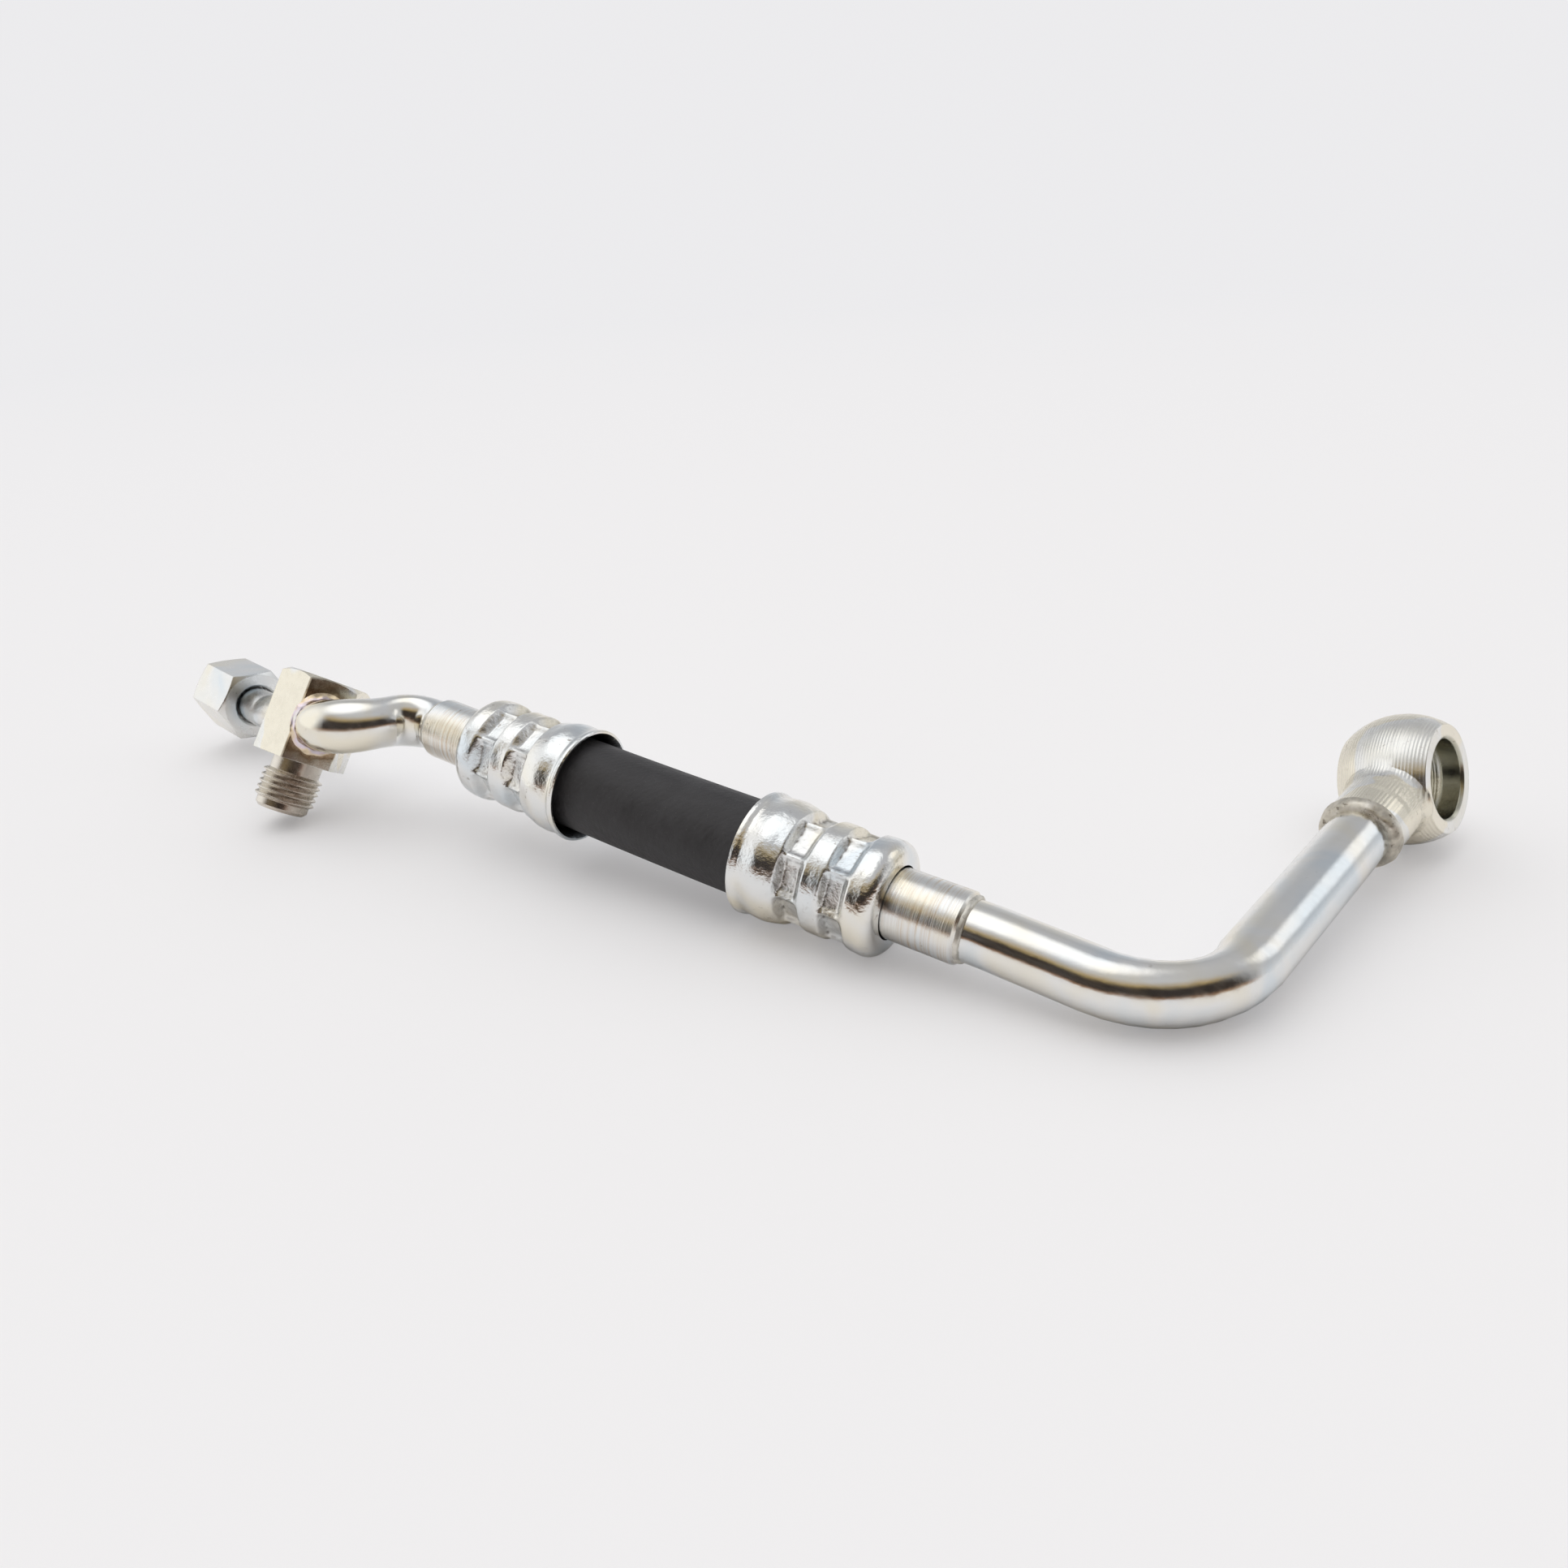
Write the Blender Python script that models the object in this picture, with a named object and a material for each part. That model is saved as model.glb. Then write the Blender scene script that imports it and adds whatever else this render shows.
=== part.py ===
"""Oil line: a banjo eye, a bent tube, a crimped hose, a short tube, a tee and a union nut.

Metres, +Z up. The line lies as it rests on a bench, and +X runs along the hose.
"""
import math

import bmesh
import bpy
from mathutils import Matrix, Vector

# Route: the straight runs of the centre line meet at these corners
BANJO_CENTRE = Vector((0.1422, 0.0517, 0.0143))
LONG_BEND = Vector((0.1230, -0.0373, 0.0058))
LONG_LEAN = Vector((0.0862, -0.0369, 0.0100))
HOSE_MIDDLE = Vector((0.0132, -0.0359, 0.0154))
SHORT_BEND_OUTER = Vector((-0.0634, -0.0367, 0.0244))
SHORT_BEND_INNER = Vector((-0.0705, -0.0556, 0.0277))
TEE_CENTRE = Vector((-0.0905, -0.0470, 0.0223))
NUT_BEND = Vector((-0.1260, -0.0372, 0.0140))
NUT_FACE = Vector((-0.1344, -0.0358, 0.0141))
LONG_BEND_RADIUS = 0.0225
LONG_LEAN_RADIUS = 0.0600
SHORT_OUTER_RADIUS = 0.0105
SHORT_INNER_RADIUS = 0.0095
NUT_BEND_RADIUS = 0.0200
NUT_LEAN_FROM_TEE = 0.0170
NUT_LEAN_RADIUS = 0.0200

# The gap that parts in contact keep, and the facets of round parts
CLEARANCE = 0.0003
SIDES = 24
EYE_SIDES = 40
BEND_STEP_ANGLE = math.radians(9.0)

# Tubes
TUBE_OD = 0.0120
TUBE_WALL = 0.00125
NUT_TUBE_OD = 0.0100
NUT_TUBE_WALL = 0.0010
BEND_FLAT_INSIDE = 0.30
BEND_FLAT_OUTSIDE = 0.08
BEND_SPREAD = 0.08
FULL_PRESS_ANGLE = math.radians(70.0)

# Hose, and its length between the mouths of the two ferrules
HOSE_OD = 0.0204
HOSE_ID = 0.0127
HOSE_EXPOSED = 0.0456
HOSE_IN_FERRULE = 0.0272

# Ferrule: a pressed sleeve, crimped into two grooves by a ring of jaws
FERRULE_LENGTH = 0.0310
FERRULE_WALL = 0.0012
FERRULE_LIP_RADIUS = 0.0128
FERRULE_NECK_RADIUS = 0.0123
FERRULE_SKIRT_RADIUS = 0.0126
FERRULE_BEAD_RADIUS = 0.0114
FERRULE_END_RADIUS = 0.0117
GROOVE_RADIUS = 0.0095
GROOVE_ONE = 0.0125
GROOVE_TWO = 0.0222
GROOVE_FLAT = 0.0026
GROOVE_SLOPE = 0.0030
JAWS = 8
SIDES_PER_JAW = 4

# Hose insert: a turned collar with a barbed tail in the hose
COLLAR_OD = 0.0143
COLLAR_EXPOSED = 0.0146
COLLAR_CHAMFER = 0.0006
COLLAR_IN_FERRULE = 0.0020
SOCKET_DEPTH = 0.0080
INSERT_BORE = 0.0080
BARB_OD = 0.0121
BARB_ROOT_OD = 0.0112
BARB_COUNT = 4
BARB_PITCH = 0.0055

# Banjo eye: a turned ball with two flat faces, a bore and a neck
BANJO_BALL_OD = 0.0279
BANJO_WIDTH = 0.0180
BANJO_OFFSET = 0.0009
BANJO_BORE = 0.0166
BANJO_BORE_CHAMFER = 0.0005
BANJO_RELIEF_DEPTH = 0.0008
BANJO_RELIEF_WIDTH = 0.0080
BANJO_AXIS = Vector((0.9142, -0.2295, 0.3341))
NECK_OD = 0.0150
NECK_END = 0.0242
NECK_FILLET = 0.0030
NECK_ROOT = 0.0105

# Tee body: hexagon bar with a threaded stub
TEE_ACROSS_FLATS = 0.0190
TEE_ABOVE = 0.0110
TEE_BELOW = 0.0102
TEE_CHAMFER = 0.0012
TEE_AXIS = Vector((0.0504, 0.6137, 0.7881))
TEE_SOCKET_DEPTH = 0.0030
TEE_CROSS_BORE = 0.0080
STUB_LENGTH = 0.0132
STUB_NECK_OD = 0.0117
STUB_NECK_LENGTH = 0.0034
STUB_THREAD_OD = 0.0140
STUB_THREAD_ROOT_OD = 0.0122
STUB_THREAD_PITCH = 0.0015
STUB_TIP_CHAMFER = 0.0008
STUB_BORE = 0.0080

# Union nut and the ring that it presses on the tube
NUT_ACROSS_FLATS = 0.0180
NUT_LENGTH = 0.0185
NUT_CHAMFER = 0.0010
NUT_HOLE_CLEARANCE = 0.0004
NUT_HOLE_LENGTH = 0.0045
NUT_HOLE_CHAMFER = 0.0006
NUT_THREAD_BORE = 0.0146
NUT_SEAT_LENGTH = 0.0030
NUT_TURN = math.radians(9.0)
RING_LENGTH = 0.0055
RING_WALL = 0.0010
TUBE_END_IN_NUT = 0.0140

# Braze
BRAZE_RING_LENGTH = 0.0022
BRAZE_COLLAR_LENGTH = 0.0011
BRAZE_FILLET_HEIGHT = 0.0026
BRAZE_FILLET_SIDE = 0.0009
BRAZE_FILLET_TOP = 0.0022
BRAZE_BACK_TOP = 0.0020


def clear_scene():
    for item in list(bpy.data.objects):
        bpy.data.objects.remove(item)


def material(name, colour, metallic, roughness):
    made = bpy.data.materials.new(name)
    made.use_nodes = True
    shader = made.node_tree.nodes["Principled BSDF"]
    shader.inputs["Base Color"].default_value = (*colour, 1.0)
    shader.inputs["Metallic"].default_value = metallic
    shader.inputs["Roughness"].default_value = roughness
    return made


def zinc(name):
    return material(name, (0.78, 0.79, 0.78), 1.0, 0.28)


def braze(name):
    return material(name, (0.52, 0.43, 0.30), 1.0, 0.42)


def frame_along(origin, direction, side):
    """A frame whose Z runs along direction and whose X leans towards side."""
    z = direction.normalized()
    x = (side - z * side.dot(z)).normalized()
    return Matrix.Translation(origin) @ Matrix((x, z.cross(x), z)).transposed().to_4x4()


def add_object(name, mesh, finish, place=None):
    mesh.shade_smooth()
    mesh.set_sharp_from_angle(angle=math.radians(35.0))
    mesh.materials.append(finish)
    made = bpy.data.objects.new(name, mesh)
    bpy.context.scene.collection.objects.link(made)
    made.matrix_world = place or Matrix.Identity(4)
    return made


def mesh_from(name, builder):
    mesh = bpy.data.meshes.new(name)
    bmesh.ops.recalc_face_normals(builder, faces=builder.faces)
    builder.to_mesh(mesh)
    builder.free()
    return mesh


def turned(name, profile, finish, place, sides=SIDES):
    """Turn a closed (along, radius) outline about the local Z axis."""
    builder = bmesh.new()
    points = [builder.verts.new((radius, 0.0, along)) for along, radius in profile]
    edges = [builder.edges.new((a, b)) for a, b in zip(points, points[1:] + points[:1])]
    bmesh.ops.spin(builder, geom=points + edges, axis=(0, 0, 1), cent=(0, 0, 0),
                   angle=math.tau, steps=sides, use_merge=True)
    bmesh.ops.remove_doubles(builder, verts=builder.verts, dist=1e-6)
    return add_object(name, mesh_from(name, builder), finish, place)


def skinned(name, rings, finish, place=None):
    """Bridge a closed chain of rings, each a list of points, into one hollow solid."""
    builder = bmesh.new()
    loops = [[builder.verts.new(point) for point in ring] for ring in rings]
    for ring, following in zip(loops, loops[1:] + loops[:1]):
        for i in range(len(ring)):
            j = (i + 1) % len(ring)
            builder.faces.new((ring[i], ring[j], following[j], following[i]))
    return add_object(name, mesh_from(name, builder), finish, place)


def hexagon_bar(name, across_flats, length, finish, place):
    """A hexagon prism from z = 0 to length, with one flat facing local X."""
    builder = bmesh.new()
    bmesh.ops.create_cone(builder, cap_ends=True, segments=6, radius1=across_flats / math.sqrt(3),
                          radius2=across_flats / math.sqrt(3), depth=length,
                          matrix=Matrix.Translation((0, 0, length / 2)))
    return add_object(name, mesh_from(name, builder), finish, place)


def as_cutter(tool):
    tool.hide_render = True
    tool.display_type = "WIRE"
    return tool


def boolean(target, tool, operation):
    step = target.modifiers.new(operation.lower() + "_" + tool.name, "BOOLEAN")
    step.operation = operation
    step.solver = "EXACT"
    step.object = as_cutter(tool)


def plug(name, steps, place):
    """A solid turned cutter: steps are (along, radius) pairs, closed on the axis."""
    outline = [(steps[0][0], 0.0)] + steps + [(steps[-1][0], 0.0)]
    builder = bmesh.new()
    points = [builder.verts.new((radius, 0.0, along)) for along, radius in outline]
    edges = [builder.edges.new(pair) for pair in zip(points, points[1:])]
    bmesh.ops.spin(builder, geom=points + edges, axis=(0, 0, 1), cent=(0, 0, 0),
                   angle=math.tau, steps=SIDES, use_merge=True)
    bmesh.ops.remove_doubles(builder, verts=builder.verts, dist=1e-6)
    return add_object(name, mesh_from(name, builder), zinc(name), place)


def bend_stations(before, corner, after, radius):
    """Points of an arc at a corner, as (point, tangent, inward, press) with press at most 1."""
    arrive = (corner - before).normalized()
    leave = (after - corner).normalized()
    angle = arrive.angle(leave)
    inward = (leave - arrive * leave.dot(arrive)).normalized()
    start = corner - arrive * radius * math.tan(angle / 2)
    centre = start + inward * radius
    steps = max(2, round(angle / BEND_STEP_ANGLE))
    stations = []
    for i in range(steps + 1):
        turn = angle * i / steps
        point = centre - inward * radius * math.cos(turn) + arrive * radius * math.sin(turn)
        tangent = arrive * math.cos(turn) + inward * math.sin(turn)
        towards = inward * math.cos(turn) - arrive * math.sin(turn)
        press = math.sin(math.pi * i / steps) * min(angle / FULL_PRESS_ANGLE, 1.0)
        stations.append((point, tangent, towards, press))
    return stations


def route_stations(start, corners, end):
    """Stations from start to end through (corner, radius) bends, with the ends unbent."""
    points = [start] + [corner for corner, _ in corners] + [end]
    bends = [bend_stations(points[i], corner, points[i + 2], radius)
             for i, (corner, radius) in enumerate(corners)]
    first, last = bends[0][0], bends[-1][-1]
    return [(start, first[1], first[2], 0.0)] + sum(bends, []) + [(end, last[1], last[2], 0.0)]


def carry_sides(stations):
    """The side direction at each station, carried along the route without twist."""
    sides = [stations[0][2]]
    for (_, before, _, _), (_, tangent, _, _) in zip(stations, stations[1:]):
        sides.append(before.rotation_difference(tangent) @ sides[-1])
    return sides


def flattened_ring(station, side, radius):
    """One section of a bent tube, pressed flat towards the inside of its bend."""
    centre, tangent, inward, bend = station
    across = tangent.cross(side)
    outer = tangent.cross(inward)
    ring = []
    for i in range(SIDES):
        turn = math.tau * i / SIDES
        spoke = side * math.cos(turn) + across * math.sin(turn)
        depth, spread = spoke.dot(inward), spoke.dot(outer)
        flat = BEND_FLAT_INSIDE if depth > 0 else BEND_FLAT_OUTSIDE
        depth *= 1.0 - flat * bend
        spread *= 1.0 + BEND_SPREAD * bend
        ring.append(centre + (inward * depth + outer * spread) * radius)
    return ring


def bent_tube(name, start, corners, end, diameter, wall):
    stations = route_stations(start, corners, end)
    sides = carry_sides(stations)
    outer = [flattened_ring(s, side, diameter / 2) for s, side in zip(stations, sides)]
    inner = [flattened_ring(s, side, diameter / 2 - wall) for s, side in zip(stations, sides)]
    return skinned(name, outer + inner[::-1], zinc(name))


def smooth(value):
    value = min(max(value, 0.0), 1.0)
    return value * value * (3.0 - 2.0 * value)


def groove_share(along):
    """How far the jaws have pressed the sleeve at this place: 0 on a bead, 1 in a groove."""
    reach = GROOVE_FLAT / 2 + GROOVE_SLOPE
    nearest = min(abs(along - GROOVE_ONE), abs(along - GROOVE_TWO))
    return smooth((reach - nearest) / GROOVE_SLOPE)


def jaw_radius(turn):
    """The flat pads that the jaws leave, with a low fin where two jaws meet."""
    sector = math.tau / JAWS
    return GROOVE_RADIUS / math.cos((turn % sector) - sector / 2)


def uncrimped_radius(along):
    """The sleeve's outer radius along its length, before the grooves are pressed."""
    stretches = [(0.0, FERRULE_LIP_RADIUS), (0.0008, FERRULE_LIP_RADIUS),
                 (0.0020, FERRULE_NECK_RADIUS), (0.0055, FERRULE_SKIRT_RADIUS),
                 (GROOVE_ONE, FERRULE_BEAD_RADIUS), (GROOVE_TWO, FERRULE_BEAD_RADIUS),
                 (GROOVE_TWO + 0.0055, FERRULE_END_RADIUS), (FERRULE_LENGTH, FERRULE_END_RADIUS)]
    for (low, radius), (high, following) in zip(stretches, stretches[1:]):
        if along <= high:
            return radius + (following - radius) * smooth((along - low) / (high - low))
    return FERRULE_END_RADIUS


def ferrule_radius(along, turn):
    share = groove_share(along)
    return uncrimped_radius(along) * (1.0 - share) + jaw_radius(turn) * share


def ferrule_ring(along, inset, limit=None):
    sides = JAWS * SIDES_PER_JAW
    ring = []
    for i in range(sides):
        turn = math.tau * i / sides
        radius = (limit or ferrule_radius(along, turn)) - inset
        ring.append(Vector((radius * math.cos(turn), radius * math.sin(turn), along)))
    return ring


def groove_places(shares):
    """Places across both grooves: share 0 is the edge of a groove's flat, 1 the foot of its slope."""
    steps = [GROOVE_FLAT / 2 + GROOVE_SLOPE * share for share in shares]
    steps = [-step for step in steps[::-1]] + steps
    return [groove + step for groove in (GROOVE_ONE, GROOVE_TWO) for step in steps]


def ferrule(name, place):
    """A crimped sleeve whose mouth is at z = 0 and whose closed end hugs the collar."""
    hole = COLLAR_OD / 2 + CLEARANCE
    round_end = FERRULE_END_RADIUS - hole - FERRULE_WALL
    outside = [0.0, 0.0008, 0.0020, 0.0045, 0.0068] + groove_places((0.0, 0.5, 1.0))
    inside = [0.0, 0.0020, 0.0068] + groove_places((0.3, 1.0))
    outer = [ferrule_ring(along, 0.0) for along in outside]
    inner = [ferrule_ring(along, FERRULE_WALL) for along in inside]
    for i in range(5):
        turn = math.pi / 2 * i / 4
        along = FERRULE_LENGTH - round_end * (1.0 - math.sin(turn))
        outer.append(ferrule_ring(along, round_end * (1.0 - math.cos(turn)), FERRULE_END_RADIUS))
    end = [ferrule_ring(FERRULE_LENGTH, 0.0, hole),
           ferrule_ring(FERRULE_LENGTH - FERRULE_WALL, 0.0, hole),
           ferrule_ring(FERRULE_LENGTH - FERRULE_WALL, round_end, FERRULE_END_RADIUS),
           ferrule_ring(FERRULE_LENGTH - round_end, 0.0, FERRULE_END_RADIUS - FERRULE_WALL)]
    return skinned(name, outer + end + inner[::-1], zinc(name), place)


def insert(name, place):
    """The turned collar with its barbed tail; z = 0 is the ferrule's mouth."""
    collar_start = FERRULE_LENGTH - FERRULE_WALL - COLLAR_IN_FERRULE
    collar_end = FERRULE_LENGTH + COLLAR_EXPOSED
    radius = COLLAR_OD / 2
    outline = [(collar_end - COLLAR_CHAMFER, radius), (collar_end, radius - COLLAR_CHAMFER)]
    outline += [(collar_end, TUBE_OD / 2 + CLEARANCE),
                (collar_end - SOCKET_DEPTH, TUBE_OD / 2 + CLEARANCE),
                (collar_end - SOCKET_DEPTH, INSERT_BORE / 2)]
    tail_start = collar_start - BARB_COUNT * BARB_PITCH
    outline += [(tail_start, INSERT_BORE / 2)]
    for i in range(BARB_COUNT):
        foot = tail_start + i * BARB_PITCH
        outline += [(foot, BARB_ROOT_OD / 2), (foot + BARB_PITCH * 0.8, BARB_OD / 2)]
    outline += [(collar_start, BARB_ROOT_OD / 2), (collar_start, radius)]
    return turned(name, outline, zinc(name), place)


def collar_braze(name, place):
    """The ring of braze in the mouth of the collar."""
    start = FERRULE_LENGTH + COLLAR_EXPOSED + CLEARANCE
    inside = TUBE_OD / 2 + CLEARANCE
    outside = COLLAR_OD / 2 - COLLAR_CHAMFER
    outline = [(start, inside), (start, outside), (start + BRAZE_COLLAR_LENGTH * 0.5, outside),
               (start + BRAZE_COLLAR_LENGTH, inside + 0.0001), (start + BRAZE_COLLAR_LENGTH, inside)]
    return turned(name, outline, braze(name), place)


def hose_radius(along):
    """The hose's outer radius inside a ferrule, squeezed by the sleeve's pads."""
    squeezed = ferrule_radius(along, math.pi / JAWS) - FERRULE_WALL - CLEARANCE
    return min(HOSE_OD / 2, squeezed)


def round_ring(centre, tangent, radius):
    across = tangent.cross(Vector((0, 0, 1))).normalized()
    upward = across.cross(tangent)
    ring = []
    for i in range(SIDES):
        turn = math.tau * i / SIDES
        ring.append(centre + (across * math.cos(turn) + upward * math.sin(turn)) * radius)
    return ring


def hose(long_leg, short_leg):
    """The whole hose, from its end in one ferrule to its end in the other."""
    half = HOSE_EXPOSED / 2
    squeeze = [HOSE_IN_FERRULE] + groove_places((0.3, 1.0))[::-1] + [0.0]
    stations = []
    for along in squeeze:
        stations.append((short_leg @ Vector((0, 0, along)), -short_leg.col[2].xyz, hose_radius(along)))
    arrive, leave = -short_leg.col[2].xyz, long_leg.col[2].xyz
    for i in range(1, 4):
        share = i / 4
        tangent = arrive.lerp(leave, share).normalized()
        bow = (1.0 - (2.0 * share - 1.0) ** 2) * half * math.tan(arrive.angle(leave) / 2) / 2
        chord = short_leg.translation.lerp(long_leg.translation, share)
        away = (HOSE_MIDDLE - short_leg.translation.lerp(long_leg.translation, 0.5)).normalized()
        stations.append((chord + away * bow, tangent, HOSE_OD / 2))
    for along in squeeze[::-1]:
        stations.append((long_leg @ Vector((0, 0, along)), leave, hose_radius(along)))
    outer = [round_ring(centre, tangent, radius) for centre, tangent, radius in stations]
    unsqueezed = stations[:1] + stations[len(squeeze) - 1:-len(squeeze) + 1] + stations[-1:]
    inner = [round_ring(centre, tangent, HOSE_ID / 2) for centre, tangent, _ in unsqueezed]
    rubber = material("hose", (0.035, 0.035, 0.037), 0.0, 0.55)
    return skinned("hose", outer + inner[::-1], rubber)


def ball_profile():
    """Outline of the drilled ball about its bore: outer zone, faces, bore and relief groove."""
    front = BANJO_WIDTH / 2 - BANJO_OFFSET
    back = -BANJO_WIDTH / 2 - BANJO_OFFSET
    ball = BANJO_BALL_OD / 2
    top, bottom = math.asin(front / ball), math.asin(back / ball)
    outline = []
    for i in range(11):
        lean = top + (bottom - top) * i / 10
        outline.append((ball * math.sin(lean), ball * math.cos(lean)))
    bore = BANJO_BORE / 2
    relief = BANJO_RELIEF_WIDTH / 2
    outline += [(back, bore + BANJO_BORE_CHAMFER), (back + BANJO_BORE_CHAMFER, bore),
                (-relief, bore), (-relief + BANJO_RELIEF_DEPTH, bore + BANJO_RELIEF_DEPTH),
                (relief - BANJO_RELIEF_DEPTH, bore + BANJO_RELIEF_DEPTH), (relief, bore),
                (front - BANJO_BORE_CHAMFER, bore), (front, bore + BANJO_BORE_CHAMFER)]
    return outline


def banjo_eye(leg):
    """The ball with its neck; leg is the frame at the ball's centre, with Z down the tube."""
    down = leg.col[2].xyz
    axis = (BANJO_AXIS - down * BANJO_AXIS.dot(down)).normalized()
    bore_frame = frame_along(BANJO_CENTRE, axis, down)
    eye = turned("banjo_eye", ball_profile(), zinc("banjo_eye"), bore_frame, EYE_SIDES)
    neck_start = math.sqrt((BANJO_BALL_OD / 2) ** 2 - (NECK_OD / 2) ** 2)
    steps = [(NECK_ROOT, NECK_OD / 2)]
    for i in range(5):
        turn = math.pi / 2 * i / 4
        steps.append((neck_start - NECK_FILLET * 0.4 + NECK_FILLET * math.sin(turn),
                      NECK_OD / 2 + NECK_FILLET * 0.4 * (1.0 - math.sin(turn))))
    steps += [(NECK_END, NECK_OD / 2)]
    boolean(eye, plug("banjo_neck", steps, leg), "UNION")
    socket = NECK_END - SOCKET_DEPTH
    passage = [(NECK_ROOT - BANJO_BORE / 4, INSERT_BORE / 2), (socket, INSERT_BORE / 2),
               (socket, TUBE_OD / 2 + CLEARANCE), (NECK_END + SOCKET_DEPTH, TUBE_OD / 2 + CLEARANCE)]
    boolean(eye, plug("banjo_passage", passage, leg), "DIFFERENCE")
    return eye


def banjo_braze(leg):
    """The rounded ring of braze on the neck's end."""
    start = NECK_END + CLEARANCE
    inside = TUBE_OD / 2 + CLEARANCE
    depth = NECK_OD / 2 - inside
    outline = [(start, inside)]
    for i in range(6):
        turn = math.pi / 2 * i / 5
        outline.append((start + BRAZE_RING_LENGTH * math.sin(turn), inside + depth * math.cos(turn) + 0.0001))
    outline.append((start + BRAZE_RING_LENGTH, inside))
    return turned("banjo_braze_ring", outline, braze("banjo_braze_ring"), leg)


def chamfered(target, across_flats, low, high, chamfer, place, name, both):
    """Trim the corners of a hexagon with a turned blank whose ends are bevelled."""
    corner = across_flats / math.sqrt(3)
    spare = corner * 0.2
    slope = chamfer + spare * chamfer / (corner - across_flats / 2)
    flat = across_flats / 2 * 0.97
    rise = (corner + spare - flat) * chamfer / (corner - flat)
    steps = [(low, flat), (low + rise, corner + spare)] if both else [(low - slope, corner + spare)]
    steps += [(high - rise, corner + spare), (high, flat)]
    boolean(target, plug(name, steps, place), "INTERSECT")


def thread_steps():
    """Crests and roots of the stub's thread, going down from the neck."""
    start = STUB_NECK_LENGTH
    room = STUB_LENGTH - STUB_TIP_CHAMFER - start
    turns = int(room / STUB_THREAD_PITCH)
    steps = []
    for i in range(turns):
        top = start + i * STUB_THREAD_PITCH
        steps += [(top + STUB_THREAD_PITCH * 0.45, STUB_THREAD_OD / 2),
                  (top + STUB_THREAD_PITCH * 0.60, STUB_THREAD_OD / 2),
                  (top + STUB_THREAD_PITCH, STUB_THREAD_ROOT_OD / 2)]
    return steps


def tee_body(place):
    """Hexagon bar with a threaded stub below, drilled down and across; local X is its front."""
    height = TEE_ABOVE + TEE_BELOW
    base = place @ Matrix.Translation((0, 0, -TEE_BELOW))
    tee = hexagon_bar("tee_body", TEE_ACROSS_FLATS, height, zinc("tee_body"), base)
    chamfered(tee, TEE_ACROSS_FLATS, 0.0, height, TEE_CHAMFER, base, "tee_blank", both=False)
    down = base @ Matrix.Rotation(math.pi, 4, "X")
    steps = [(-TEE_BELOW / 2, STUB_NECK_OD / 2), (STUB_NECK_LENGTH, STUB_NECK_OD / 2)]
    steps += thread_steps()
    steps += [(STUB_LENGTH - STUB_TIP_CHAMFER, STUB_THREAD_ROOT_OD / 2),
              (STUB_LENGTH, STUB_THREAD_ROOT_OD / 2 - STUB_TIP_CHAMFER)]
    boolean(tee, plug("tee_stub", steps, down), "UNION")
    bore = [(-TEE_BELOW, STUB_BORE / 2), (STUB_LENGTH + STUB_BORE, STUB_BORE / 2)]
    boolean(tee, plug("tee_stub_bore", bore, down), "DIFFERENCE")
    front = place @ Matrix.Rotation(math.pi / 2, 4, "Y")
    face = TEE_ACROSS_FLATS / 2
    cross = [(-face * 2, NUT_TUBE_OD / 2 + CLEARANCE),
             (-face + TEE_SOCKET_DEPTH, NUT_TUBE_OD / 2 + CLEARANCE),
             (-face + TEE_SOCKET_DEPTH, TEE_CROSS_BORE / 2),
             (face - TEE_SOCKET_DEPTH, TEE_CROSS_BORE / 2),
             (face - TEE_SOCKET_DEPTH, TUBE_OD / 2 + CLEARANCE),
             (face * 2, TUBE_OD / 2 + CLEARANCE)]
    boolean(tee, plug("tee_cross_bore", cross, front), "DIFFERENCE")
    return tee


def tee_fillet(name, place, tube_od, top_reach, side_reach):
    """A braze fillet round a tube on the tee's face, wider above and below than at the sides."""
    inside = tube_od / 2 + CLEARANCE
    rings = [[], [], [], [], []]
    shape = [(0.0, 0.0), (0.0, 1.0), (0.35, 0.62), (0.70, 0.25), (1.0, 0.06)]
    for i in range(SIDES):
        turn = math.tau * i / SIDES
        reach = side_reach + (top_reach - side_reach) * math.sin(turn) ** 2
        for ring, (height, share) in zip(rings, shape):
            radius = inside + reach * share
            ring.append(Vector((radius * math.cos(turn), radius * math.sin(turn),
                                CLEARANCE + BRAZE_FILLET_HEIGHT * height)))
    tip = [Vector((inside * math.cos(math.tau * i / SIDES), inside * math.sin(math.tau * i / SIDES),
                   CLEARANCE + BRAZE_FILLET_HEIGHT)) for i in range(SIDES)]
    return skinned(name, rings + [tip], braze(name), place)


def union_nut(place):
    """Hexagon nut on the tube: its tube hole is at z = 0, its threaded mouth at the far end."""
    nut = hexagon_bar("union_nut", NUT_ACROSS_FLATS, NUT_LENGTH, zinc("union_nut"), place)
    chamfered(nut, NUT_ACROSS_FLATS, 0.0, NUT_LENGTH, NUT_CHAMFER, place, "nut_blank", both=True)
    hole = NUT_TUBE_OD / 2 + NUT_HOLE_CLEARANCE
    inside = [(-NUT_HOLE_CHAMFER, hole + NUT_HOLE_CHAMFER * 2), (NUT_HOLE_CHAMFER, hole),
              (NUT_HOLE_LENGTH, hole), (NUT_HOLE_LENGTH + NUT_SEAT_LENGTH, NUT_THREAD_BORE / 2),
              (NUT_LENGTH * 2, NUT_THREAD_BORE / 2)]
    boolean(nut, plug("nut_inside", inside, place), "DIFFERENCE")
    return nut


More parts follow.
